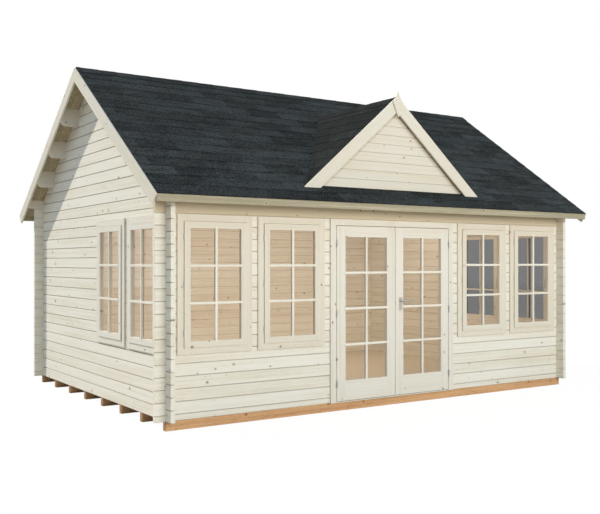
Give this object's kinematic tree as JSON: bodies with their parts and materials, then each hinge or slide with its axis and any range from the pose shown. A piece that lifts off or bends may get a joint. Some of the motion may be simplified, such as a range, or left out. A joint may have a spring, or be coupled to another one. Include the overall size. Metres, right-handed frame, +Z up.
{
  "type": "summer house",
  "caption": "Log-built timber summer house with glazed double doors, paired windows, a shingled gable roof and a decorative gable over the entrance.",
  "frame": {"origin": "on the ground, under the middle of the plan", "axes": "+X to the right along the front, +Y from front to back, +Z up"},
  "size_m": [5.744, 4.266, 3.6129],
  "materials": {
    "log_wood": "planed spruce, untreated",
    "trim_wood": "planed spruce, untreated",
    "joinery_wood": "smooth spruce joinery",
    "roof_wood": "planed spruce boards",
    "floor_wood": "planed spruce boards",
    "bearer_wood": "pressure-treated timber",
    "shingle": "mineral-coated bitumen shingle",
    "clear_glass": "clear float glass",
    "fitting_metal": "satin"
  },
  "bodies": {
    "house": {"bearers": "bearer_wood", "floor": "floor_wood", "purlins": "roof_wood", "roof_boards_front": "roof_wood", "roof_boards_back": "roof_wood", "shingles_front": "shingle", "shingles_back": "shingle", "dormer_shingles": "shingle", "dormer_boards": "roof_wood", "front_wall_left": "log_wood", "front_wall_right": "log_wood", "front_wall_head": "log_wood", "back_wall": "log_wood", "left_wall": "log_wood", "right_wall": "log_wood", "left_gable": "log_wood", "right_gable": "log_wood", "barge_boards_left": "trim_wood", "barge_boards_right": "trim_wood", "eave_board_front": "trim_wood", "eave_board_back": "trim_wood", "dormer_gable": "trim_wood", "dormer_barge_boards": "trim_wood", "finial": "trim_wood", "door_frame": "joinery_wood", "window_frames_front": "joinery_wood", "window_frames_left": "joinery_wood", "window_frames_right": "joinery_wood", "window_sashes_front": "joinery_wood", "window_sashes_left": "joinery_wood", "window_sashes_right": "joinery_wood", "window_glass_front": "clear_glass", "window_glass_left": "clear_glass", "window_glass_right": "clear_glass", "hinge_pins": "fitting_metal"},
    "door_left": {"door_leaf_left": "joinery_wood", "door_glass_left": "clear_glass", "hinge_barrels_left": "fitting_metal"},
    "door_right": {"door_leaf_right": "joinery_wood", "door_glass_right": "clear_glass", "hinge_barrels_right": "fitting_metal", "handle_plates": "fitting_metal"},
    "lever": {"door_lever": "fitting_metal"}
  },
  "joints": [
    {"name": "door_left_hinge", "type": "hinge", "parent": "house", "child": "door_left", "pos_m": [-0.774, -1.907, 0], "axis": [0, 0, -1], "range_deg": [0, 110]},
    {"name": "door_right_hinge", "type": "hinge", "parent": "house", "child": "door_right", "pos_m": [0.774, -1.907, 0], "axis": [0, 0, 1], "range_deg": [0, 110]},
    {"name": "lever_turn", "type": "hinge", "parent": "door_right", "child": "lever", "pos_m": [0.071, -1.88, 1.106], "axis": [0, 1, 0], "range_deg": [0, 45], "stiffness_Nm_per_rad": 1.5, "springref_deg": -34.38}
  ]
}
